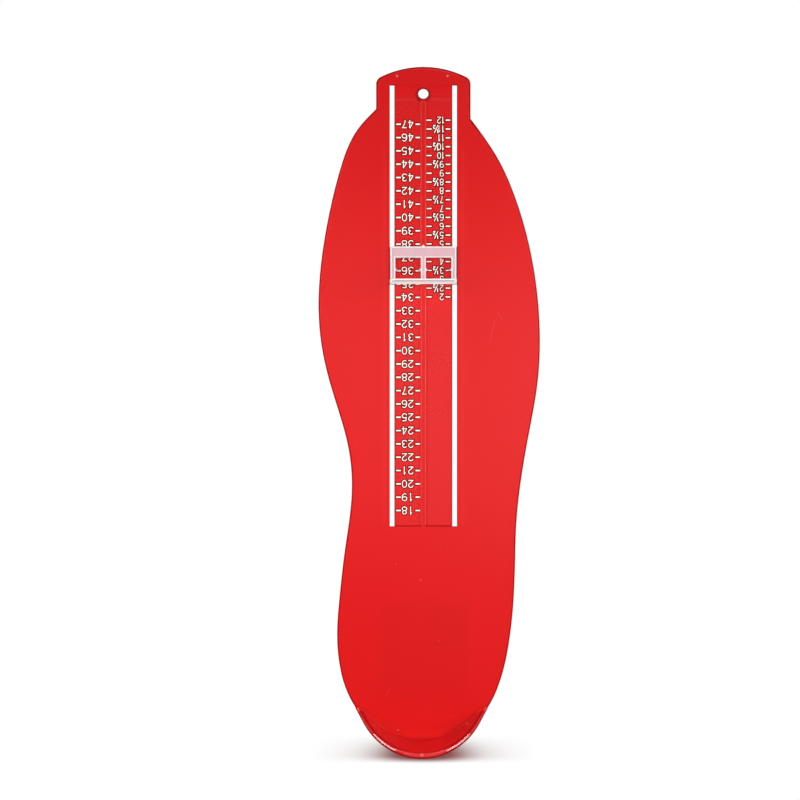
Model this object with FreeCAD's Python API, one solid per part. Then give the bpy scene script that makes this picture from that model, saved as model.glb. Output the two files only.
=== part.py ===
import FreeCAD, Part
import math
import os
from FreeCAD import Vector

# Foot measuring gauge: a foot-shaped plate with a heel wall, and a toe slide that runs in two slots.
# While it is modelled, x = 0 is the gauge's centreline, y = 0 is where the heel touches the heel wall
# and z = 0 is the ground. The finished pieces are moved so that the origin is under the middle.

os.makedirs("parts", exist_ok=True)

# ---------------------------------------------------------------- driving sizes, mm

# Shoe sizes: the step from mark to mark, and how much longer a shoe is than the foot in it.
SIZE_STEP = 20.0 / 3.0
SHOE_ROOM = 12.3
SMALLEST_SIZE = 18
LARGEST_SIZE = 47
SIZE_SHOWN = 36

# Foot plate: a thin skin that stands on a skirt.
PLATE_HEIGHT = 5.5
SKIN = 1.8
SKIRT_WALL = 1.8
PLATE_EDGE_RADIUS = 1.0

# Foot outline from the tab to the heel: (share of the sole's length, distance from the centreline).
LEFT_SIDE = [(0.966, 33.3), (0.918, 40.3), (0.860, 45.3), (0.780, 50.2), (0.681, 52.5),
             (0.610, 50.2), (0.538, 44.2), (0.466, 37.8), (0.395, 35.8), (0.300, 39.3),
             (0.228, 41.9), (0.158, 43.2), (0.087, 39.6)]
RIGHT_SIDE = [(0.955, 30.5), (0.919, 37.8), (0.871, 44.7), (0.800, 51.8), (0.729, 56.2),
              (0.633, 58.4), (0.562, 57.1), (0.490, 53.2), (0.419, 49.3), (0.347, 46.7),
              (0.253, 45.75), (0.158, 43.15), (0.087, 37.9)]

# Hanging tab beyond the toes. The foot outline meets its left side a little further up.
TAB_WIDTH = 47.3
TAB_LENGTH = 21.1
TAB_END_RADIUS = 48.0
TAB_CORNER_RADIUS = 4.0
TAB_ROOT_OFFSET = 4.9
SHOULDER_ANGLE_LEFT = 45.0
SHOULDER_ANGLE_RIGHT = 38.0
HOLE_RADIUS = 2.55
HOLE_TO_TAB_END = 13.5
HOLE_EDGE_RADIUS = 0.3

# Heel wall: round, highest behind the heel, with a rim that sweeps down to both sides.
HEEL_CENTRE_X = -0.85
HEEL_RADIUS = 37.0
WALL_THICKNESS = 2.4
WALL_HEIGHT = 27.86
WALL_HALF_ANGLE = 57.0
WALL_INNER_LEAN = 1.0
WALL_OUTER_LEAN = 2.4
WALL_END_HEIGHT = 1.6
WALL_ROOT_RADIUS = 0.5
RIM_RADIUS = 1.0
# The rim's fall to each side: (degrees round from behind the heel, share of its drop).
RIM_FALL = [(13.0, 0.045), (20.0, 0.115), (26.0, 0.200), (32.0, 0.310), (38.0, 0.440), (43.0, 0.590),
            (48.0, 0.770), (52.0, 0.900)]
RIM_SPARE_ANGLE = 4.0

# Slots for the slide. Between them lie two sunk panels that carry the scales. Their sides slope, and
# at the tab a longer ramp runs out. A rib on the centreline and a ring round the hanging hole stay high.
SLOT_SPACING = 31.35
SLOT_WIDTH = 2.3
SLOT_EDGE_RADIUS = 0.25
SLOT_SPARE_HEEL = 1.3
SLOT_SPARE_TAB = 7.6
SLOT_TO_TAB_END = 9.2
PANEL_DEPTH = 0.5
PANEL_SLOPE = 45.0
PANEL_RAMP = 6.0
RAMP_TO_SLOT_END = 2.0
RIB_WIDTH = 2.1
RIB_EDGE_RADIUS = 0.35
RING_WIDTH = 1.2

# Stiffening rails under the plate, one beside each slot, joined at their ends.
RAIL_WALL = 1.4
RAIL_GROUND_GAP = 0.5
RAIL_OVERRUN = 2.6

# Toe slide: a frame with two windows, an upright stop, and two legs through the slots.
SLIDE_LENGTH = 18.7
FRAME_THICKNESS = 1.6
FRAME_EDGE_RADIUS = 0.5
TOE_BAND = 5.6
SIDE_BAR = 2.5
CENTRE_BAR = 2.5
STOP_HEIGHT = 18.0
STOP_THICKNESS = 1.3
STOP_CORNER_RADIUS = 3.0
READING_TO_STOP = 6.5
POINTER_LENGTH = 1.6
POINTER_WIDTH = 1.5
PIP_LENGTH = 0.9
PIP_WIDTH = 1.8
POINTER_ROOT = 0.2

# Clip under the plate, held by four snap tongues of the slide.
CLIP_THICKNESS = 1.5
CLIP_EDGE = 2.0
CLIP_CORNER_RADIUS = 1.5
TONGUE_LENGTH = 4.5
TONGUE_INSET = 1.6
BARB_REACH = 0.5
BARB_LIP = 0.3
BARB_HEIGHT = 0.9
BARB_TIP = 1.1

# Clearances: sliding, beside the clip, and in the clip's own holes.
SLIDE_GAP = 0.2
LEG_GAP = 0.35
RAIL_GAP = 0.4
SNAP_GAP = 0.05

# How closely arcs follow the foot's curve, how far a cutter runs past what it cuts, and how near
# two heights or places are taken to be the same.
ARC_TOLERANCE = 0.05
OVERRUN = 1.0
SAME = 0.01

# ---------------------------------------------------------------- sizes that follow

SKIN_UNDER = PLATE_HEIGHT - SKIN
PANEL_FLOOR = PLATE_HEIGHT - PANEL_DEPTH


def stop_at(size):
    """Where the stop's face stands when the slide shows a size."""
    return size * SIZE_STEP - SHOE_ROOM


slot_start = stop_at(SMALLEST_SIZE) - SLOT_SPARE_HEEL
slot_end = stop_at(LARGEST_SIZE) + SLIDE_LENGTH + SLOT_SPARE_TAB
tab_end = slot_end + SLOT_TO_TAB_END
hole_y = tab_end - HOLE_TO_TAB_END
sole_length = tab_end - TAB_LENGTH
heel_outer = HEEL_RADIUS + WALL_THICKNESS
heel_inner_clear = HEEL_RADIUS / 2
heel_outer_clear = HEEL_RADIUS * 3 / 2
heel_centre = Vector(HEEL_CENTRE_X, HEEL_RADIUS, 0)
wall_top = PLATE_HEIGHT + WALL_HEIGHT

panel_spread = PANEL_DEPTH * math.tan(math.radians(PANEL_SLOPE))

leg_wall = SLOT_WIDTH - 2 * LEG_GAP
leg_outer = SLOT_SPACING / 2 + leg_wall / 2
leg_inner = leg_outer - leg_wall
stop_face = stop_at(SIZE_SHOWN)
frame_bottom = PLATE_HEIGHT + SLIDE_GAP
frame_top = frame_bottom + FRAME_THICKNESS
clip_top = SKIN_UNDER - SLIDE_GAP
clip_bottom = clip_top - CLIP_THICKNESS
clip_half_width = leg_outer + CLIP_EDGE
rail_inner = clip_half_width + RAIL_GAP


def polar(centre, radius, degrees):
    """A point on a circle round a centre, with 0 degrees straight back behind the heel."""
    turn = math.radians(degrees)
    return centre + Vector(radius * math.sin(turn), -radius * math.cos(turn), 0)


def box(x0, x1, y0, y1, z0, z1):
    """A block between two corners."""
    return Part.makeBox(x1 - x0, y1 - y0, z1 - z0, Vector(x0, y0, z0))


def prism(points, along):
    """A solid from a closed outline of straight lines, pushed along a vector."""
    return Part.Face(Part.makePolygon(points + points[:1])).extrude(along)


def rounded(shape, radius, chosen):
    """The shape with a fillet on every edge that the test picks."""
    return shape.makeFillet(radius, [edge for edge in shape.Edges if chosen(edge)])


# ---------------------------------------------------------------- foot plate

def flank(points, start, start_direction, end, end_direction):
    """One side of the foot: tangent arcs along a smooth curve through its stations."""
    curve = Part.BSplineCurve()
    curve.interpolate(Points=[start] + points + [end], InitialTangent=start_direction,
                      FinalTangent=end_direction, Scale=False)
    return [arc.toShape() for arc in curve.toBiArcs(ARC_TOLERANCE)]


def arc_round(centre, start, end):
    """The short arc between two points that lie at one distance from a centre."""
    middle = (start + end) * 0.5 - centre
    return Part.Arc(start, centre + middle.normalize() * (start - centre).Length, end).toShape()


def foot_outline():
    """The plate's edge on the ground, clockwise from the tab's left side."""
    half = TAB_WIDTH / 2
    side = half - TAB_CORNER_RADIUS
    reach = TAB_END_RADIUS - TAB_CORNER_RADIUS
    arc_centre = Vector(0, tab_end - TAB_END_RADIUS, 0)
    corner_left = arc_centre + Vector(-side, math.sqrt(reach ** 2 - side ** 2), 0)
    corner_right = arc_centre + Vector(side, math.sqrt(reach ** 2 - side ** 2), 0)
    meeting_left = corner_left + (corner_left - arc_centre).normalize() * TAB_CORNER_RADIUS
    meeting_right = corner_right + (corner_right - arc_centre).normalize() * TAB_CORNER_RADIUS
    straight_left = corner_left - Vector(TAB_CORNER_RADIUS, 0, 0)
    straight_right = corner_right + Vector(TAB_CORNER_RADIUS, 0, 0)
    root_left = Vector(-half, sole_length, 0)
    root_right = Vector(half, sole_length - TAB_ROOT_OFFSET, 0)
    heel_left = polar(heel_centre, heel_outer, -WALL_HALF_ANGLE)
    heel_right = polar(heel_centre, heel_outer, WALL_HALF_ANGLE)
    left = math.radians(SHOULDER_ANGLE_LEFT)
    right = math.radians(SHOULDER_ANGLE_RIGHT)
    heel = math.radians(WALL_HALF_ANGLE)
    edges = [
        Part.LineSegment(root_left, straight_left).toShape(),
        arc_round(corner_left, straight_left, meeting_left),
        Part.Arc(meeting_left, Vector(0, tab_end, 0), meeting_right).toShape(),
        arc_round(corner_right, meeting_right, straight_right),
        Part.LineSegment(straight_right, root_right).toShape(),
    ]
    edges += flank([Vector(out, share * sole_length, 0) for share, out in RIGHT_SIDE],
                   root_right, Vector(math.sin(right), -math.cos(right), 0),
                   heel_right, Vector(-math.cos(heel), -math.sin(heel), 0))
    edges.append(Part.Arc(heel_right, polar(heel_centre, heel_outer, 0), heel_left).toShape())
    edges += flank([Vector(-out, share * sole_length, 0) for share, out in LEFT_SIDE[::-1]],
                   heel_left, Vector(-math.cos(heel), math.sin(heel), 0),
                   root_left, Vector(math.sin(left), math.cos(left), 0))
    return Part.Wire(edges)


def wall_profile():
    """Section through the heel wall: inner foot rounding, leaning faces, and the skirt below."""
    inner_lean = math.tan(math.radians(WALL_INNER_LEAN))
    outer_lean = math.tan(math.radians(WALL_OUTER_LEAN))
    blank = WALL_HEIGHT + 2 * WALL_THICKNESS

    def at(radius, height):
        return Vector(heel_centre.x, heel_centre.y - radius, height)

    foot = WALL_ROOT_RADIUS
    foot_bend = foot * (1 - math.sqrt(0.5))
    corners = [
        at(HEEL_RADIUS + inner_lean * foot, PLATE_HEIGHT + foot),
        at(HEEL_RADIUS + inner_lean * blank, PLATE_HEIGHT + blank),
        at(heel_outer + outer_lean * blank, PLATE_HEIGHT + blank),
        at(heel_outer, PLATE_HEIGHT),
        at(heel_outer, 0),
        at(heel_outer - SKIRT_WALL, 0),
        at(heel_outer - SKIRT_WALL, SKIN_UNDER),
        at(HEEL_RADIUS - foot, SKIN_UNDER),
        at(HEEL_RADIUS - foot, PLATE_HEIGHT),
    ]
    edges = [Part.LineSegment(a, b).toShape() for a, b in zip(corners, corners[1:])]
    bend = at(HEEL_RADIUS - foot_bend, PLATE_HEIGHT + foot_bend)
    edges.append(Part.Arc(corners[-1], bend, corners[0]).toShape())
    return Part.Face(Part.Wire(edges))


def rim_line(radius):
    """The rim's height round the heel at one radius, running on past both ends of the wall."""
    drop = WALL_HEIGHT - WALL_END_HEIGHT
    falls = RIM_FALL + [(WALL_HALF_ANGLE, 1.0), (WALL_HALF_ANGLE + RIM_SPARE_ANGLE, 1.0)]
    stations = [(-turn, share) for turn, share in falls[::-1]] + [(0.0, 0.0)] + falls
    line = Part.BSplineCurve()
    line.interpolate(Points=[polar(heel_centre, radius, turn) + Vector(0, 0, wall_top - share * drop)
                             for turn, share in stations],
                     Parameters=[turn for turn, share in stations])
    return line.toShape()


def heel_wall():
    """The wall behind the heel, cut to a rim that is level across its thickness, and rounded along it."""
    wall = wall_profile()
    wall.rotate(heel_centre, Vector(0, 0, 1), -WALL_HALF_ANGLE)
    wall = wall.revolve(heel_centre, Vector(0, 0, 1), 2 * WALL_HALF_ANGLE)
    sweep = Part.makeRuledSurface(rim_line(heel_inner_clear), rim_line(heel_outer_clear))
    wall = wall.cut(sweep.extrude(Vector(0, 0, 2 * WALL_HEIGHT)))
    rim = [face for face in wall.Faces if isinstance(face.Surface, Part.BSplineSurface)]
    long_edges = [edge for face in rim for edge in face.Edges if edge.Length > heel_outer / 2]
    return wall.makeFillet(RIM_RADIUS, long_edges)


def rails(hollow):
    """Two long ribs beside the slots and the cross ribs at their ends, inside the skirt."""
    start = slot_start - RAIL_OVERRUN
    end = slot_end + RAIL_OVERRUN
    outer = rail_inner + RAIL_WALL
    frame = box(-outer, outer, start - RAIL_WALL, end + RAIL_WALL, RAIL_GROUND_GAP, SKIN_UNDER)
    room = box(-rail_inner, rail_inner, start, end, 0, SKIN_UNDER)
    return frame.cut(room).common(hollow)


def rectangle(half_width, start, end, z):
    """A level outline, centred on the gauge's centreline."""
    corners = [Vector(-half_width, start, z), Vector(half_width, start, z),
               Vector(half_width, end, z), Vector(-half_width, end, z)]
    return Part.makePolygon(corners + corners[:1])


def rib_and_ring():
    """What stays at full height between the slots: the centre rib, and the ring round the hole."""
    top = RIB_WIDTH / 2
    root = top + panel_spread
    rib = prism([Vector(-root, slot_start, PANEL_FLOOR), Vector(-top, slot_start, PLATE_HEIGHT),
                 Vector(top, slot_start, PLATE_HEIGHT), Vector(root, slot_start, PANEL_FLOOR)],
                Vector(0, hole_y - slot_start, 0))
    ring = Part.makeCone(HOLE_RADIUS + RING_WIDTH + panel_spread, HOLE_RADIUS + RING_WIDTH, PANEL_DEPTH,
                         Vector(0, hole_y, PANEL_FLOOR))
    rib, ring = [rounded(shape, RIB_EDGE_RADIUS, is_long_upper_edge) for shape in (rib, ring)]
    return rib.fuse(ring)


def is_long_upper_edge(edge):
    """An edge of the rib or the ring in the plate's upper face, but not the rib's ends."""
    return edge.BoundBox.ZMin > PLATE_HEIGHT - SAME and edge.Length > RIB_WIDTH + SAME


def panels():
    """The room over the two sunk panels, around the rib and the ring, with a ramp at the tab."""
    half = SLOT_SPACING / 2
    ramp_top = slot_end - RAMP_TO_SLOT_END
    floor = rectangle(half, slot_start + panel_spread, ramp_top - PANEL_RAMP, PANEL_FLOOR)
    top = rectangle(half, slot_start, ramp_top, PLATE_HEIGHT)
    return Part.makeLoft([floor, top], True).cut(rib_and_ring())


def slot(side):
    """One through slot, on side -1 or 1."""
    middle = side * SLOT_SPACING / 2
    return box(middle - SLOT_WIDTH / 2, middle + SLOT_WIDTH / 2, slot_start, slot_end,
               -PLATE_HEIGHT, 2 * PLATE_HEIGHT)


def is_upper_slot_edge(edge):
    """A straight edge of a slot in the plate's upper face or in a panel, but none that stands up."""
    found = edge.BoundBox
    middle = abs(found.Center.x)
    lies = found.ZLength < SAME or found.YLength > PANEL_RAMP - SAME
    return (found.ZMin > PANEL_FLOOR - SAME and found.ZMax < PLATE_HEIGHT + SAME and lies
            and slot_start - SAME < found.YMin and found.YMax < slot_end + SAME
            and abs(middle - SLOT_SPACING / 2) < SLOT_WIDTH / 2 + SAME)


def is_upper_hole_edge(edge):
    """The hanging hole's edge in the plate's upper face."""
    found = edge.BoundBox
    return (abs(found.ZMin - PLATE_HEIGHT) < SAME and found.ZLength < SAME
            and abs(found.XLength - 2 * HOLE_RADIUS) < SAME and abs(found.Center.y - hole_y) < SAME)


def make_foot_plate():
    """The red moulding."""
    plate = Part.Face(foot_outline()).extrude(Vector(0, 0, PLATE_HEIGHT))
    plate = rounded(plate, PLATE_EDGE_RADIUS, lambda edge: edge.BoundBox.ZMin > PLATE_HEIGHT - SAME)
    inside = foot_outline().makeOffset2D(-SKIRT_WALL)
    hollow = Part.Face(inside).extrude(Vector(0, 0, SKIN_UNDER))
    plate = plate.cut(hollow)
    plate = plate.fuse([heel_wall(), rails(hollow)])
    hole = Part.makeCylinder(HOLE_RADIUS, 3 * PLATE_HEIGHT, Vector(0, hole_y, -PLATE_HEIGHT))
    plate = plate.cut([panels(), slot(-1), slot(1), hole]).removeSplitter()
    plate = rounded(plate, SLOT_EDGE_RADIUS, is_upper_slot_edge)
    return rounded(plate, HOLE_EDGE_RADIUS, is_upper_hole_edge)


# ---------------------------------------------------------------- toe slide

def stop():
    """The upright wall that the toes touch, with rounded upper corners."""
    half = leg_outer
    top = PLATE_HEIGHT + STOP_HEIGHT
    low = top - STOP_CORNER_RADIUS
    side = half - STOP_CORNER_RADIUS

    def at(x, z):
        return Vector(x, stop_face, z)

    edges = [
        Part.LineSegment(at(-half, frame_bottom), at(-half, low)).toShape(),
        arc_round(at(-side, low), at(-half, low), at(-side, top)),
        Part.LineSegment(at(-side, top), at(side, top)).toShape(),
        arc_round(at(side, low), at(side, top), at(half, low)),
        Part.LineSegment(at(half, low), at(half, frame_bottom)).toShape(),
        Part.LineSegment(at(half, frame_bottom), at(-half, frame_bottom)).toShape(),
    ]
    return Part.Face(Part.Wire(edges)).extrude(Vector(0, STOP_THICKNESS, 0))


def pointer(x, direction):
    """Half an arrow that points into a window, with its straight edge on the reading line."""
    y = stop_face + READING_TO_STOP
    root = x - direction * POINTER_ROOT
    corners = [Vector(root, y, frame_bottom),
               Vector(root, y + POINTER_WIDTH, frame_bottom),
               Vector(x + direction * POINTER_LENGTH, y, frame_bottom)]
    return prism(corners, Vector(0, 0, FRAME_THICKNESS))


def leg(side):
    """A wall that fills one slot, with two snap tongues that go on down through the clip."""
    x0, x1 = sorted((side * leg_inner, side * leg_outer))
    far = stop_face + SLIDE_LENGTH
    wall = box(x0, x1, stop_face, far, clip_top, frame_top)
    barb = side * (leg_outer + BARB_REACH)
    for start in tongue_starts():
        end = start + TONGUE_LENGTH
        tongue = box(x0, x1, start, end, clip_bottom - SNAP_GAP, clip_top)
        catch = clip_bottom - SNAP_GAP
        corners = [Vector(side * leg_inner, start, catch), Vector(barb, start, catch),
                   Vector(barb, start, catch - BARB_LIP),
                   Vector(side * (leg_inner + BARB_TIP), start, catch - BARB_HEIGHT),
                   Vector(side * leg_inner, start, catch - BARB_HEIGHT)]
        wall = wall.fuse([tongue, prism(corners, Vector(0, TONGUE_LENGTH, 0))])
    return wall


def tongue_starts():
    """Where the two tongues of a leg begin, measured along the gauge."""
    return [stop_face + TONGUE_INSET, stop_face + SLIDE_LENGTH - TONGUE_INSET - TONGUE_LENGTH]


def make_slide_window():
    """The milky moulding with the windows, the stop, the legs and the snap tongues."""
    far = stop_face + SLIDE_LENGTH
    frame = box(-leg_outer, leg_outer, stop_face, far, frame_bottom, frame_top)
    window_start = stop_face + STOP_THICKNESS
    window_end = far - TOE_BAND
    bar = leg_outer - SIDE_BAR
    windows = [box(min(side * CENTRE_BAR / 2, side * bar), max(side * CENTRE_BAR / 2, side * bar),
                   window_start, window_end, frame_bottom, frame_top) for side in (-1, 1)]
    frame = frame.cut(windows)
    frame = rounded(frame, FRAME_EDGE_RADIUS,
                    lambda edge: edge.BoundBox.ZMin > frame_top - SAME
                    and edge.BoundBox.YMax > window_start + SAME)
    pointers = [pointer(side * bar, -side) for side in (-1, 1)]
    pointers += [pointer(side * CENTRE_BAR / 2, side) for side in (-1, 1)]
    pip = prism([Vector(-PIP_WIDTH / 2, far - POINTER_ROOT, frame_bottom),
                 Vector(0, far + PIP_LENGTH, frame_bottom),
                 Vector(PIP_WIDTH / 2, far - POINTER_ROOT, frame_bottom)],
                Vector(0, 0, FRAME_THICKNESS))
    return frame.fuse([stop(), leg(-1), leg(1), pip] + pointers).removeSplitter()


def make_slide_clip():
    """The back plate under the foot plate, with four holes for the snap tongues."""
    half = clip_half_width
    far = stop_face + SLIDE_LENGTH
    clip = box(-half, half, stop_face, far, clip_bottom, clip_top)
    clip = rounded(clip, CLIP_CORNER_RADIUS, lambda edge: edge.BoundBox.ZLength > CLIP_THICKNESS - SAME)
    holes = []
    for side in (-1, 1):
        x0, x1 = sorted((side * (leg_inner - SNAP_GAP), side * (leg_outer + SNAP_GAP)))
        for start in tongue_starts():
            holes.append(box(x0, x1, start - SNAP_GAP, start + TONGUE_LENGTH + SNAP_GAP,
                             clip_bottom - OVERRUN, clip_top + OVERRUN))
    return clip.cut(holes)


# ---------------------------------------------------------------- export

pieces = {
    "foot_plate": make_foot_plate(),
    "slide_window": make_slide_window(),
    "slide_clip": make_slide_clip(),
}
extent = pieces["foot_plate"].optimalBoundingBox(False, False)
to_origin = Vector(-extent.Center.x, -extent.Center.y, -extent.ZMin)
for name, shape in pieces.items():
    shape.translate(to_origin)
    shape.exportStep("parts/%s.step" % name)
    found = shape.optimalBoundingBox(False, False)
    print(name, "valid", shape.isValid(), "solids", len(shape.Solids), "volume", round(shape.Volume, 1),
          [round(v, 2) for v in (found.XMin, found.YMin, found.ZMin, found.XMax, found.YMax, found.ZMax)])
print("origin moved by", to_origin)
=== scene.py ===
import math

import bpy
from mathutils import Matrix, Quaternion, Vector


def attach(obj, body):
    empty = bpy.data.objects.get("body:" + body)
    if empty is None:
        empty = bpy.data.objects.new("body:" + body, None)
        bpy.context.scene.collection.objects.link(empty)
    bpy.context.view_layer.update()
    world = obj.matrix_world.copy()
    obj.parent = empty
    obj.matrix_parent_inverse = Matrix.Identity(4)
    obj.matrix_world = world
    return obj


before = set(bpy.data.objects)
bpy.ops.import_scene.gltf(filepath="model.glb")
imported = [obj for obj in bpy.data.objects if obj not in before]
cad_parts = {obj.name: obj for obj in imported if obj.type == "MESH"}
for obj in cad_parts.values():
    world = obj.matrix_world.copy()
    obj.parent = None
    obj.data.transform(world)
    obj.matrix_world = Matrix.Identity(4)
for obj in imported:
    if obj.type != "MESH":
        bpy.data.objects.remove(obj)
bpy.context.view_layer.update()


# Foot plate. One injection moulding in glossy red ABS: the sole-shaped plate, its heel
# wall and the sunk panels for the scales come out of the mould together. Its colour is
# painted darker towards the tab and a little towards the heel: painted shade.
class Wire:
    """A value, colour or direction in a material. Sums of wires add the Math nodes."""

    def __init__(self, tree, socket=None):
        self.tree = tree
        self.socket = socket

    def node(self, kind, entries=(), output=None, stops=(), **settings):
        made = self.tree.nodes.new("ShaderNode" + kind)
        for setting, value in settings.items():
            setattr(made, setting, value)
        if stops:
            for spare in list(made.color_ramp.elements)[1:]:
                made.color_ramp.elements.remove(spare)
            made.color_ramp.elements[0].position = stops[0][0]
            made.color_ramp.elements[0].color = stops[0][1]
            for place, colour in stops[1:]:
                made.color_ramp.elements.new(place).color = colour
        for entry, value in dict(entries).items():
            if isinstance(entry, int):
                plug = made.inputs[entry]
            else:
                plug = next(s for s in made.inputs if s.name == entry and s.enabled)
            if isinstance(value, Wire):
                self.tree.links.new(value.socket, plug)
            else:
                plug.default_value = value
        if not len(made.outputs):
            return None
        if output is None:
            return Wire(self.tree, next(s for s in made.outputs if s.enabled))
        return Wire(self.tree, made.outputs[output])

    def other(self, output):
        """Another output of the node that this wire leaves."""
        return Wire(self.tree, self.socket.node.outputs[output])

    def math(self, operation, *values):
        return self.node("Math", enumerate(values), operation=operation)

    def __add__(self, other):
        return self.math("ADD", self, other)

    __radd__ = __add__

    def __sub__(self, other):
        return self.math("SUBTRACT", self, other)

    def __rsub__(self, other):
        return self.math("SUBTRACT", other, self)

    def __mul__(self, other):
        return self.math("MULTIPLY", self, other)

    __rmul__ = __mul__

    def __truediv__(self, other):
        return self.math("DIVIDE", self, other)

    def size(self):
        return self.math("ABSOLUTE", self)

    def lesser(self, other):
        return self.math("MINIMUM", self, other)

    def greater(self, other):
        return self.math("MAXIMUM", self, other)

    def rise(self, low, high):
        """0 below low and 1 above high, with a smooth slope between."""
        return self.node(
            "MapRange",
            {0: self, 1: low, 2: high, 3: 0.0, 4: 1.0},
            interpolation_type="SMOOTHSTEP",
        )

    def mix(self, share, first, second):
        """A colour between first and second."""
        return self.node(
            "Mix",
            {"Factor": share, "A": first, "B": second},
            data_type="RGBA",
        )


def open_material(name):
    """A new material with only its output left, and the wire that its nodes hang on."""
    material = bpy.data.materials.new(name)
    material.use_nodes = True
    tree = material.node_tree
    tree.nodes.clear()
    return material, Wire(tree)


def place_on_part(wire):
    """The x, y and z of a point of the part, in metres, and all three together."""
    at = wire.node("TexCoord", output="Object")
    x = wire.node("SeparateXYZ", {0: at}, output="X")
    return at, x, x.other("Y"), x.other("Z")


def close_material(wire, shader):
    wire.node("OutputMaterial", {"Surface": shader})


MM = 0.001
MIDDLE = -2.9327 * MM  # halfway between the two slots
HEEL = -166.5063 * MM  # where the back of the heel touches its wall
HEEL_CENTRE = (-3.78 * MM, -129.5 * MM)  # of the arcs of the heel wall
HEEL_LINE = -2.7 * MM  # middle of the flanks and of the shadow behind the heel
HOLE_CENTRE = (MIDDLE, 156.53 * MM)
PANEL_START, PANEL_END = -59.4 * MM, 160.9 * MM
PLATE_LENGTH = 340.0 * MM
LIT_RED = (1.0, 0.10, 0.10, 1)
DEEP_RED = (0.40, 0.002, 0.003, 1)


def within(value, low, high, soft):
    """1 between low and high and 0 outside, with edges soft wide."""
    return value.rise(low - soft, low + soft) * (1 - value.rise(high - soft, high + soft))


def from_point(x, y, place):
    """How far a point of the part lies from place, seen from above."""
    across, along = x - place[0], y - place[1]
    return across.math("SQRT", across * across + along * along)


plate_material, wire = open_material("red_gloss_plastic")
at, x, y, z = place_on_part(wire)
side = (x - MIDDLE).size()
facing = wire.node("TexCoord", output="Normal")
facing_x = wire.node("SeparateXYZ", {0: facing}, output="X")
facing_y, lift = facing_x.other("Y"), facing_x.other("Z")
cloud = wire.node(
    "TexNoise", {"Vector": at, "Scale": 18.0, "Detail": 2.0, "Roughness": 0.5}
)
# Painted shade: the red runs darker towards the tab and a little towards the heel.
along = (y + PLATE_LENGTH / 2) / PLATE_LENGTH
colour = along.node(
    "ValToRGB",
    {"Fac": along},
    stops=[
        (0.00, (0.785, 0.0060, 0.0070, 1)),
        (0.10, (0.795, 0.0062, 0.0072, 1)),
        (0.25, (0.80, 0.0068, 0.0078, 1)),
        (0.40, (0.835, 0.0078, 0.0088, 1)),
        (0.55, (0.83, 0.0075, 0.0085, 1)),
        (0.64, (0.82, 0.0072, 0.0082, 1)),
        (0.78, (0.77, 0.0055, 0.0065, 1)),
        (0.90, (0.70, 0.0042, 0.0052, 1)),
        (1.00, (0.655, 0.0035, 0.0045, 1)),
    ],
)
colour = wire.mix(cloud.rise(0.42, 0.70) * 0.10, colour, (0.72, 0.006, 0.007, 1))

# The floors of the panels are left matt in the mould, so that the ink holds, and towards
# the heel they carry a faint painted sheen. Painted shade darkens them beside the slots,
# along the slot edges and at the foot of the rib between them; the rib's crest has a
# painted highlight.
hole_way = from_point(x, y, HOLE_CENTRE)
panel = 1 - side.rise(14.1 * MM, 14.5 * MM)
panel = panel * within(y, PANEL_START, PANEL_END, 0.4 * MM) * hole_way.rise(4.1 * MM, 4.3 * MM)
matt = panel * (1 - z.rise(5.1 * MM, 5.3 * MM)) * lift.rise(0.9, 0.99)
towards_heel = 1 - y.rise(20 * MM, 110 * MM)
colour = wire.mix(matt * towards_heel * 0.018, colour, (1.0, 0.3, 0.3, 1))
beside_slot = matt * side.rise(11.5 * MM, 14.3 * MM)
colour = wire.mix(beside_slot * 0.15, colour, (0.60, 0.003, 0.004, 1))
slots = within(side, 13.95 * MM, 14.60 * MM, 0.12 * MM) * 0.4
slots = slots.greater(within(side, 16.75 * MM, 17.25 * MM, 0.12 * MM) * 0.6)
slots = slots * within(y, PANEL_START, PANEL_END, 0.3 * MM)
colour = wire.mix(slots, colour, DEEP_RED)
rib_crest_highlight = within(side, 0.95 * MM, 1.35 * MM, 0.12 * MM) * panel
rib_foot_shade = within(side, 1.60 * MM, 2.30 * MM, 0.20 * MM) * panel
colour = wire.mix(rib_crest_highlight * 0.16, colour, LIT_RED)
colour = wire.mix(rib_foot_shade * 0.30, colour, (0.55, 0.003, 0.004, 1))

# The rounded edges get painted shade: a darker, duller red than the broad face. This mask
# is 1 on them: round the plate, along the heel wall and round the hole.
heel_way = from_point(x, y, HEEL_CENTRE)
radial = (facing_x * (x - HEEL_CENTRE[0]) + facing_y * (y - HEEL_CENTRE[1])) / heel_way
outward = radial.rise(0.2, 0.5).greater(1 - z.rise(6.0 * MM, 6.4 * MM))
near_hole = 1 - hole_way.rise(3.1 * MM, 3.3 * MM)
root = within(heel_way, 36.2 * MM, 37.3 * MM, 0.2 * MM) * (1 - y.rise(-150 * MM, -149 * MM))
edge_shade_mask = (1 - lift.rise(0.965, 0.9995)) * lift.rise(0.02, 0.10) * outward * (1 - root * 0.2)
edge_shade_mask = edge_shade_mask * (1 - panel).greater(near_hole)
standing = z.rise(7.5 * MM, 9.0 * MM)
heel_side = (x - HEEL_LINE).size()
flank = heel_side.rise(8 * MM, 14 * MM)
wall_back = (heel_way + flank * 0.30 * MM).rise(39.35 * MM, 39.60 * MM)
edge_shade_mask = edge_shade_mask.greater(wall_back * standing)
throat = within(heel_way, 37.2 * MM, 38.15 * MM, 0.15 * MM) * flank * lift.rise(0.05, 0.20)
edge_shade_mask = edge_shade_mask.greater(throat * standing * 0.75)
hole_edge = within(hole_way, 2.5 * MM, 3.35 * MM, 0.15 * MM)
hole_edge = hole_edge * (1 - y.rise(157 * MM, 160 * MM) * 0.6)
edge_shade_mask = edge_shade_mask.greater(hole_edge * 0.75)
ramp = panel * within(y, 154.5 * MM, 161 * MM, 0.3 * MM)
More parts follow.
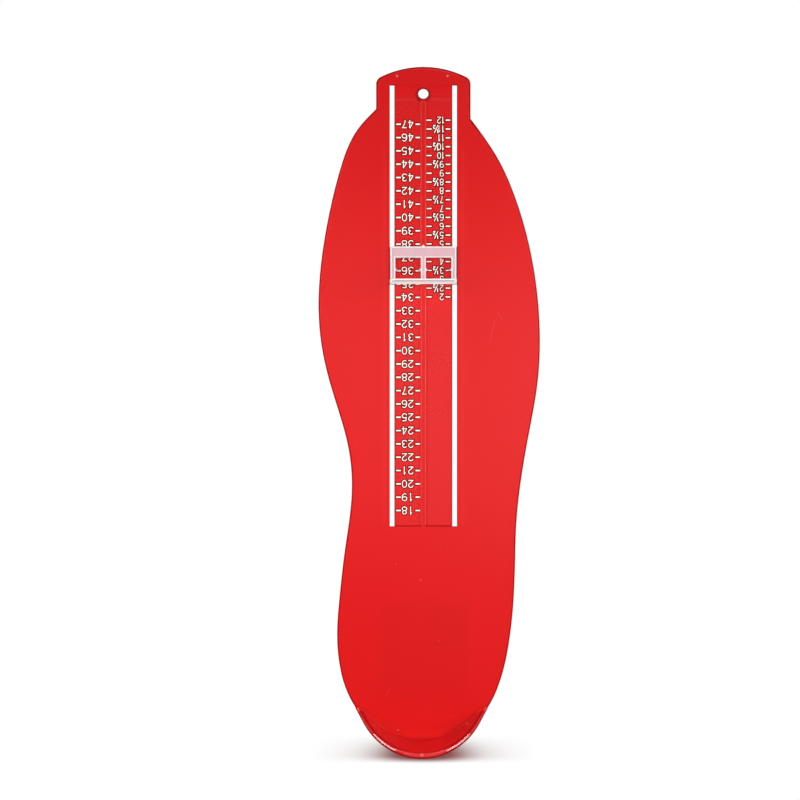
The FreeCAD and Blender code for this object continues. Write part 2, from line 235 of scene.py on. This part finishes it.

# Shade and bounced light at the heel wall, painted by place, so they don't follow the lamps:
# on its own inner edge, in the nook at its foot and on the floor in front of it. A raised
# ring lies round the hanging hole; its lower half is painted lighter, a painted highlight.
inner_edge = (0 - radial).rise(0.2, 0.4) * lift.rise(0.05, 0.20) * (1 - lift.rise(0.75, 0.90))
colour = wire.mix(inner_edge * standing * 0.6, colour, (0.45, 0.002, 0.003, 1))
inside = (1 - heel_way.rise(36.3 * MM, 36.7 * MM)) * (1 - y.rise(-158 * MM, -143 * MM))
centred = 1 - heel_side.rise(2 * MM, 19 * MM)
inside = inside * (0.25 + heel_way.rise(31 * MM, 35.5 * MM) * centred * 0.70)
colour = wire.mix(inside, colour, (1.0, 0.009, 0.010, 1))
nook = within(heel_way, 35.0 * MM, 38.5 * MM, 0.7 * MM) * x.rise(2 * MM, 12 * MM)
nook = nook * (1 - y.rise(-157 * MM, -151 * MM)) * 0.28
colour = wire.mix(nook, colour, DEEP_RED)
hole_ring_highlight = within(hole_way, 3.4 * MM, 4.4 * MM, 0.2 * MM) * (1 - y.rise(155 * MM, 159 * MM))
colour = wire.mix(hole_ring_highlight * 0.12, colour, LIT_RED)

# Faint lighter lines over the rails below are sink lines shown by a painted sheen, and a
# faint darker square lies over the heel pad.
rails = within(side, 18.7 * MM, 20.5 * MM, 0.4 * MM) * within(y, -60 * MM, 130 * MM, 4 * MM)
colour = wire.mix(rails * 0.05, colour, LIT_RED)
pad = within(x + 2.5 * MM, -22 * MM, 22 * MM, 4 * MM) * within(y, -144 * MM, -98 * MM, 5 * MM)
colour = wire.mix(pad * 0.30, colour, (0.66, 0.006, 0.007, 1))

# The heel wall is painted darker, most low down, as painted shade, and its crest lighter,
# a painted highlight, with the stub of the gate in its middle. Two dots on the tab and a
# few on the plate are painted glints, and there are three fine scratches.
wall_shade = standing * (1 - z.rise(16 * MM, 32 * MM) * 0.6)
colour = wire.mix(wall_shade * 0.34, colour, (0.62, 0.0035, 0.0045, 1))
crest_highlight = within(heel_way, 37.8 * MM, 39.4 * MM, 0.25 * MM) * z.rise(30 * MM, 33 * MM)
colour = wire.mix(crest_highlight * 0.13, colour, (1.0, 0.25, 0.25, 1))
gate = from_point(x, y, (-3.65 * MM, -167.9 * MM))
gate = within(gate, 0.35 * MM, 0.75 * MM, 0.12 * MM) * z.rise(29 * MM, 31 * MM)
colour = wire.mix(gate * 0.5, colour, (1.0, 0.35, 0.33, 1))
# Painted glints at the listed dots, together with the three scratches.
glint_and_scratch_masks = []
for place, radius in (
    ((-16.1, 165.3), 0.60),
    ((9.2, 165.3), 0.60),
    ((-4.1, -86.8), 0.30),
    ((-15.6, -161.9), 0.35),
    ((18.9, -158.4), 0.35),
    ((4.6, -117.5), 0.22),
    ((-16.6, -78.8), 0.22),
    ((5.4, -72.3), 0.18),
):
    way = from_point(x, y, (place[0] * MM, place[1] * MM))
    glint_and_scratch_masks.append(1 - way.rise(0.4 * radius * MM, 1.3 * radius * MM))
for start, end in (
    ((30.4, 32.2), (32.7, 43.2)),
    ((33.9, 47.2), (36.4, 44.2)),
    ((-21.9, -144.8), (-19.6, -141.3)),
):
    length = math.dist(start, end)
    run_x, run_y = (end[0] - start[0]) / length, (end[1] - start[1]) / length
    right, up = x - start[0] * MM, y - start[1] * MM
    scratch = within(right * run_x + up * run_y, 0.0, length * MM, 0.8 * MM)
    scratch = scratch * (1 - (right * run_y - up * run_x).size().rise(0.06 * MM, 0.32 * MM))
    glint_and_scratch_masks.append(scratch * 0.12)
glints_and_scratches = glint_and_scratch_masks[0]
for each_mask in glint_and_scratch_masks[1:]:
    glints_and_scratches = glints_and_scratches.greater(each_mask)
colour = wire.mix(glints_and_scratches * 0.45, colour, (1.0, 0.45, 0.42, 1))

# A faint, broken painted highlight runs just inside the round end of the tab.
tab_way = from_point(x, y, (MIDDLE, 122.03 * MM))
tab_arc_highlight = within(tab_way, 46.6 * MM, 47.1 * MM, 0.15 * MM) * y.rise(165 * MM, 166 * MM)
colour = wire.mix(tab_arc_highlight * cloud.rise(0.35, 0.6) * 0.14, colour, (1.0, 0.20, 0.20, 1))

fine = wire.node(
    "TexNoise", {"Vector": at, "Scale": 1200.0, "Detail": 2.0, "Roughness": 0.6}
)
roughness = 0.19 + cloud * 0.08 + fine * 0.03 + matt * 0.03 - standing * 0.10
waves = wire.node("Bump", {"Strength": 1.0, "Distance": 0.00012, "Height": cloud})
shader = wire.node(
    "BsdfPrincipled",
    {"Base Color": colour, "Roughness": roughness, "Normal": waves, "IOR": 1.5},
)

# The colour of the edges, painted shade: deepest at the tab, clear red where they turn down
# to the skirt, and at the root of the heel wall darker up the root and in the nook. The
# ramp at the tab end of the panels takes the same duller finish in plain red.
edge_shade_colour = wire.mix(y.rise(120 * MM, 165 * MM), (0.36, 0.0015, 0.003, 1), (0.17, 0.001, 0.002, 1))
outermost = (1 - lift.rise(0.52, 0.75)) * (1 - standing)
edge_shade_colour = wire.mix(outermost, edge_shade_colour, (0.92, 0.004, 0.006, 1))
edge_shade_colour = wire.mix(ramp, edge_shade_colour, (0.68, 0.0050, 0.0060, 1))
up_the_root = heel_way.rise(36.70 * MM, 37.0 * MM)
foot = wire.mix(up_the_root, (0.95, 0.008, 0.009, 1), (0.60, 0.002, 0.003, 1))
edge_shade_colour = wire.mix(root, edge_shade_colour, wire.mix(nook, foot, DEEP_RED))
edge_shader = wire.node(
    "BsdfPrincipled",
    {"Base Color": edge_shade_colour, "Roughness": 0.5, "Specular IOR Level": 0.1, "IOR": 1.5},
)
edge_share = edge_shade_mask.greater(ramp * 0.75)
shader = wire.node("MixShader", {0: edge_share, 1: shader, 2: edge_shader})
close_material(wire, shader)


def dress(node, material):
    """Puts the material on a CAD node's own slots."""
    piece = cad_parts[node]
    if not piece.data.materials:
        piece.data.materials.append(material)
    for i in range(len(piece.data.materials)):
        piece.data.materials[i] = material
    return piece


dress("foot_plate", plate_material)


# European scale. Marks and numbers 18 to 47 are printed in white ink in shallow grooves in
# the floor of the left panel; the grooves are shown by a wider dark ribbon under the ink,
# painted shade of their walls. A size is two thirds of a centimetre, and the numbers face
# the helper in front of the toes, not the person whose foot is measured.
PANEL_FLOOR = 5.0 * MM
INK = 0.04 * MM
GROOVE = 0.48 * MM


def arc(centre, radius, start, end, steps=14):
    """Points on part of an ellipse, in a numeral's own box, angles in degrees."""
    turn = [math.radians(start + (end - start) * i / steps) for i in range(steps + 1)]
    return [
        (centre[0] + radius[0] * math.cos(a), centre[1] + radius[1] * math.sin(a))
        for a in turn
    ]


STROKES = {
    "0": [arc((0.33, 0.50), (0.26, 0.42), 90, 450, 28)],
    "1": [[(0.36, 0.0), (0.36, 1.0)], [(0.38, 0.94), (0.30, 0.82), (0.18, 0.75)]],
    "2": [
        arc((0.33, 0.66), (0.26, 0.26), 170, -32) + [(0.30, 0.32), (0.09, 0.10)],
        [(0.02, 0.08), (0.63, 0.08)],
    ],
    "3": [
        arc((0.31, 0.71), (0.23, 0.21), 160, -90),
        arc((0.31, 0.31), (0.27, 0.23), 90, -160),
    ],
    "4": [
        [(0.46, 0.0), (0.46, 0.98)],
        [(0.44, 0.93), (0.08, 0.32)],
        [(0.03, 0.28), (0.66, 0.28)],
    ],
    "5": [
        [(0.15, 0.92), (0.57, 0.92)],
        [(0.17, 0.96), (0.11, 0.50)],
        arc((0.32, 0.33), (0.28, 0.25), 140, -160),
    ],
    "6": [
        arc((0.34, 0.32), (0.27, 0.24), 90, 450, 24),
        arc((0.36, 0.46), (0.30, 0.46), 185, 50),
    ],
    "7": [
        [(0.06, 0.92), (0.62, 0.92)],
        [(0.57, 0.92), (0.40, 0.62), (0.29, 0.32), (0.25, 0.0)],
    ],
    "8": [
        arc((0.33, 0.71), (0.22, 0.21), 90, 450, 24),
        arc((0.33, 0.29), (0.27, 0.22), 90, 450, 24),
    ],
    "9": [
        arc((0.32, 0.68), (0.27, 0.24), 90, 450, 24),
        arc((0.30, 0.54), (0.30, 0.46), 5, -130),
    ],
}


def ribbon(name, points, width, lift):
    """A flat ribbon that follows points on the panel floor."""
    line = bpy.data.curves.new(name, "CURVE")
    line.dimensions = "3D"
    line.twist_mode = "Z_UP"
    line.extrude = width / 2
    run = line.splines.new("POLY")
    run.points.add(len(points) - 1)
    for knot, (px, py) in zip(run.points, points):
        knot.co = (px, py, PANEL_FLOOR + INK + lift, 1)
        knot.tilt = math.pi / 2
    piece = bpy.data.objects.new(name, line)
    bpy.context.scene.collection.objects.link(piece)
    return piece


grooves = []  # of the scale that is being printed


def ink_line(name, points, width, lift):
    """A ribbon of ink, with a wider dark ribbon under it: painted shade of the groove it
    fills.
    """
    ends = []
    for (x0, y0), (x1, y1) in ((points[1], points[0]), (points[-2], points[-1])):
        reach = GROOVE / math.hypot(x1 - x0, y1 - y0)
        ends.append((x1 + (x1 - x0) * reach, y1 + (y1 - y0) * reach))
    path = [ends[0], *points, ends[1]]
    grooves.append(ribbon("groove", path, width + 2 * GROOVE, lift / 4 - 0.02 * MM))
    return ribbon(name, points, width, lift)


def numeral(figure, corner, height, stroke, breadth=1.0):
    """The strokes of one figure. Its box starts at corner and runs to smaller x and y."""
    lines = []
    for n, points in enumerate(STROKES[figure]):
        laid = [
            (corner[0] - u * height * breadth, corner[1] - v * height) for u, v in points
        ]
        lines.append(ink_line("stroke", laid, stroke, n * 0.008 * MM))
    return lines


def mark(left, right, y, thickness):
    return [ink_line("mark", [(left, y), (right, y)], thickness, 0)]


def print_scale(name, lines, material):
    """Joins the strokes of a scale into one piece on the plate."""
    bpy.ops.object.select_all(action="DESELECT")
    for line in lines:
        line.select_set(True)
    bpy.context.view_layer.objects.active = lines[0]
    bpy.ops.object.convert(target="MESH")
    bpy.ops.object.join()
    piece = bpy.context.view_layer.objects.active
    piece.name = name
    piece.data.name = name
    piece.data.materials.clear()
    piece.data.materials.append(material)
    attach(piece, "gauge")
    return piece


# The ink glows a little by itself, which stands for its cover being whiter than the lamps
# make it.
ink_material, wire = open_material("white_pad_ink")
at = wire.node("TexCoord", output="Object")
cover = wire.node("TexNoise", {"Vector": at, "Scale": 1400.0, "Detail": 2.0})
white = wire.mix(cover.rise(0.60, 0.80) * 0.2, (1.0, 0.90, 0.84, 1), (0.98, 0.78, 0.72, 1))
shader = wire.node(
    "BsdfPrincipled",
    {
        "Base Color": white,
        "Roughness": 0.35 + cover * 0.1,
        "IOR": 1.45,
        "Emission Color": wire.mix(cover, (0.20, 0.14, 0.11, 1), (0.28, 0.20, 0.15, 1)),
        "Emission Strength": 1.0,
    },
)
close_material(wire, shader)

# Painted shade: the groove ribbons are a dark sheet where the groove walls lie in shade.
groove_shade_material, wire = open_material("painted_groove_shade")
at = wire.node("TexCoord", output="Object")
grain = wire.node("TexNoise", {"Vector": at, "Scale": 900.0, "Detail": 2.0})
groove_shade_colour = wire.mix(grain.rise(0.3, 0.7), (0.15, 0.0006, 0.001, 1), (0.22, 0.001, 0.0015, 1))
shader = wire.node(
    "BsdfPrincipled",
    {
        "Base Color": groove_shade_colour,
        "Roughness": 0.40 + grain * 0.1,
        "Specular IOR Level": 0.2,
        "IOR": 1.5,
    },
)
close_material(wire, shader)

EU_HEIGHT = 4.2 * MM
EU_ADVANCE = 3.18 * MM
EU_STROKE = 0.44 * MM
EU_MARK = 0.72 * MM
EU_MIDDLE = MIDDLE - 7.85 * MM
FIGURE_BREADTH = 0.66  # of a figure's height
lines = []
for size in range(18, 48):
    level = HEEL + (size * 20 / 3 - 5.6) * MM
    lines += mark(MIDDLE - 13.6 * MM, MIDDLE - 11.25 * MM, level, EU_MARK)
    lines += mark(MIDDLE - 3.9 * MM, MIDDLE - 1.65 * MM, level, EU_MARK)
    start = EU_MIDDLE + (EU_ADVANCE + FIGURE_BREADTH * EU_HEIGHT) / 2
    for i, figure in enumerate(str(size)):
        corner = (start - i * EU_ADVANCE, level + EU_HEIGHT / 2)
        lines += numeral(figure, corner, EU_HEIGHT, EU_STROKE)
print_scale("european_scale", lines, ink_material)
print_scale("european_grooves", grooves, groove_shade_material)


# British scale. Sizes 2 to 12 with halves, printed in the same pass on the right panel,
# smaller and closer. The steps are a little wider than a true third of an inch for a whole
# size, so that three halves take about two European sizes. The halves show a fraction.
UK_HEIGHT = 3.65 * MM
UK_STROKE = 0.35 * MM
UK_BREADTH = 0.85
UK_MARK = 0.6 * MM
SIZE_TWO = HEEL + 221.29 * MM
UK_STEP = 8.848 * MM
HALF_HEIGHT = 1.85 * MM
HALF_STROKE = 0.44 * MM
lines = []
grooves.clear()
for half in range(0, 21):
    size = 2 + half / 2
    level = SIZE_TWO + UK_STEP * (size - 2)
    lines += mark(MIDDLE + 1.65 * MM, MIDDLE + 4.15 * MM, level, UK_MARK)
    lines += mark(MIDDLE + 11.2 * MM, MIDDLE + 13.5 * MM, level, UK_MARK)
    foot = level + UK_HEIGHT / 2
    whole = str(int(size))
    starts = (10.23,) if len(whole) == 1 else (10.84, 8.92)
    for figure, start in zip(whole, starts):
        corner = (MIDDLE + start * MM, foot)
        lines += numeral(figure, corner, UK_HEIGHT, UK_STROKE, UK_BREADTH)
    if half % 2:
        edge, top = MIDDLE + 7.8 * MM, level + 1.95 * MM
        lines += numeral("1", (edge, level - 0.1 * MM), HALF_HEIGHT, HALF_STROKE)
        lines += numeral("2", (edge - 1.7 * MM, top), HALF_HEIGHT, HALF_STROKE)
        slash = [(edge - 0.5 * MM, top), (edge - 2.3 * MM, level - 1.95 * MM)]
        lines.append(ink_line("slash", slash, 0.40 * MM, 0.03 * MM))
print_scale("british_scale", lines, ink_material)
print_scale("british_grooves", grooves, groove_shade_material)


# Toe slide. A frame with two reading windows and an upright stop for the toe, moulded in
# natural, milky polypropylene. Its legs reach down through the slots of the plate, and
# a clip of the same plastic snaps between them from below and keeps the slide on. Nothing
# is seen through this material; a weak glow of the stop's face stands for light in it.
TOP = 22.5 * MM  # where the stop's upper edge begins to round off
WHITE_EDGE = (1.0, 0.97, 0.97, 1)
slide_material, wire = open_material("milky_plastic")
at, x, y, z = place_on_part(wire)
side = (x - MIDDLE).size()
haze = wire.node("TexNoise", {"Vector": at, "Scale": 160.0, "Detail": 3.0})
milk = wire.mix(haze.rise(0.3, 0.8), (0.86, 0.55, 0.61, 1), (0.81, 0.51, 0.57, 1))
window = ((side - 7.6125 * MM).size() - 6.3625 * MM).greater(
    (y - 68.39 * MM).size() - 5.9 * MM
)
# Painted highlight: the edges of the windows and sides and the far edge are painted near
# white, and so is the whole stop, as painted light. Painted shade: a thin line beside the side
# edges and the stop's upper edge are painted darker.
rim = within(window, -0.2 * MM, 0.62 * MM, 0.08 * MM)
rim = rim.greater(side.rise(15.65 * MM, 15.85 * MM))
rim = rim.greater(y.rise(79.10 * MM, 79.30 * MM))
stop = (1 - y.rise(62.4 * MM, 62.6 * MM)) * z.rise(7.5 * MM, 8.5 * MM)
rim = rim.greater(stop)
beside_rim = within(side, 15.3 * MM, 15.6 * MM, 0.08 * MM)
milk = wire.mix(beside_rim * 0.5, milk, (0.50, 0.38, 0.42, 1))
milk = wire.mix(rim, milk, WHITE_EDGE)
corner = stop * z.rise(TOP, TOP + 0.4 * MM) * (1 - y.rise(61.50 * MM, 61.65 * MM))
milk = wire.mix(corner * 0.95, milk, (0.20, 0.17, 0.19, 1))
face = (1 - y.rise(61.22 * MM, 61.32 * MM)) * z.rise(5.5 * MM, 6.5 * MM)
through_light = wire.mix(face * (1 - corner), (0, 0, 0, 1), (0.30, 0.42, 0.42, 1))
shader = wire.node(
    "BsdfPrincipled",
    {
        "Base Color": milk,
        "Emission Color": through_light,
        "Emission Strength": 1.0,
        "Roughness": 0.30 + haze * 0.1,
        "IOR": 1.49,
        "Subsurface Weight": 0.5,
        "Subsurface Radius": (1.0, 0.9, 0.9),
        "Subsurface Scale": 2.5 * MM,
    },
)
close_material(wire, shader)
dress("slide_window", slide_material)
dress("slide_clip", slide_material)


# Table and backdrop. A plain white sheet, which glows evenly to the camera and so shows it
# no cast shadow. The soft one behind the heel wall is painted in by place and stays as it
# is at every pose: a dark core, a wide faint skirt, and the dark join under the heel.
CORE = 19.0  # half-widths in millimetres
SKIRT = 60.0
SHADOW_RED = (0.33, 0.112, 0.112, 1)
bpy.ops.object.select_all(action="DESELECT")
bpy.ops.mesh.primitive_plane_add(size=6.0, location=(0, 0, 0))
floor = bpy.context.view_layer.objects.active
floor.name = "floor"
floor_material, wire = open_material("white_sheet")
at, x, y, z = place_on_part(wire)
rays = wire.node("LightPath", output="Is Camera Ray")
glossy, through = rays.other("Is Glossy Ray"), rays.other("Is Transmission Ray")
seen = rays.greater(glossy * 0.1).greater(through)
away = (x - HEEL_LINE) / MM
core = wire.math("EXPONENT", 0 - away * away / (CORE * CORE)) * 2.55
skirt = wire.math("EXPONENT", 0 - away * away / (SKIRT * SKIRT)) * 0.19
skirt = skirt * (1 - away.size().rise(36, 62))
under = 1 - from_point(x, y, HEEL_CENTRE).rise(40.5 * MM, 43.5 * MM)
under = under * (1 - y.rise(-166 * MM, -160 * MM))
heel_foot = from_point(x, y, (HEEL_CENTRE[0], -152 * MM))
under = under.greater(1 - heel_foot.rise(20 * MM, 27 * MM))
depth = (1 - y.rise(-176.0 * MM, -164.5 * MM)).greater(under)
depth = y.rise(-180.2 * MM, -175.8 * MM) * depth
shade = ((core + skirt) * depth).lesser(2)
shade = shade * (1 - shade / 4)
pale = wire.mix(rays, (0.40, 0.40, 0.40, 1), (0, 0, 0, 1))
grey = wire.mix(shade, pale, SHADOW_RED)
paper = wire.node("BsdfDiffuse", {"Color": grey})
glow = wire.mix(seen * (1 - shade), (0, 0, 0, 1), (1, 1, 1, 1))
lit = wire.node("Emission", {"Color": glow, "Strength": 1.0})
both = wire.node("AddShader", {0: paper, 1: lit})
close_material(wire, both)
floor.data.materials.append(floor_material)

room = bpy.data.worlds.new("room")
bpy.context.scene.world = room
room.use_nodes = True
room.node_tree.nodes.clear()
wire = Wire(room.node_tree)
rays = wire.node("LightPath", output="Is Camera Ray")
glossy, through = rays.other("Is Glossy Ray"), rays.other("Is Transmission Ray")
towards = wire.node("TexCoord", output="Generated")
upward = wire.node("SeparateXYZ", {0: towards}, output="Z")
wall = 1 - upward.rise(0.55, 0.85)
seen = rays.greater(through)
level = 0.10 + wall * (0.55 - glossy * 0.50)
background = wire.node(
    "Background", {"Color": (1, 1, 1, 1), "Strength": level.greater(seen * wall)}
)
wire.node("OutputWorld", {"Surface": background})


# Lamps. Broad soft boxes above the left and right, narrow ones low at both sides that the
# heel wall's rim mirrors, one behind the heel, and weak panels for the sheen of the plate.
def soft_box(name, place, aim, width, length, power, roll=0.0):
    light = bpy.data.lights.new(name, "AREA")
    light.shape = "RECTANGLE"
    light.size, light.size_y = width, length
    light.energy = power
    lamp = bpy.data.objects.new(name, light)
    bpy.context.scene.collection.objects.link(lamp)
    lamp.location = place
    turn = (Vector(aim) - Vector(place)).to_track_quat("-Z", "Y")
    lamp.rotation_euler = (turn @ Quaternion((0, 0, 1), roll)).to_euler()
    return lamp


soft_box("left_box", (-0.55, 0.20, 0.85), (0, -0.03, 0), 0.60, 0.60, 2.2)
soft_box("right_box", (0.55, 0.20, 0.85), (0, -0.03, 0), 0.60, 0.60, 2.3)
soft_box("left_low_box", (-0.75, 0.03, 0.41), (0, -0.12, 0), 0.060, 0.66, 2.0, -0.56)
soft_box("right_low_box", (0.75, 0.03, 0.41), (0, -0.12, 0), 0.060, 0.66, 2.2, 0.56)
soft_box("heel_box", (0.0, -0.85, 0.95), (0, -0.10, 0), 0.70, 0.35, 1.15)
soft_box("sheen_panel", (-0.03, 0.03, 1.2), (-0.03, 0.03, 0), 0.40, 0.35, 0.20)
soft_box("right_sheen_panel", (0.20, -0.02, 1.2), (0.20, -0.02, 0), 0.24, 0.30, 0.26)


# Camera. Straight above the plate.
lens = bpy.data.cameras.new("camera")
camera = bpy.data.objects.new("camera", lens)
bpy.context.scene.collection.objects.link(camera)
camera.location = (-0.0036, 0.0032, 0.7655)
camera.rotation_euler = (0, 0, 0)
lens.lens = 68.37
lens.sensor_width = 36
lens.shift_x = -0.0275
lens.clip_start = 0.01
bpy.context.scene.camera = camera
bpy.context.scene.view_settings.view_transform = "Standard"
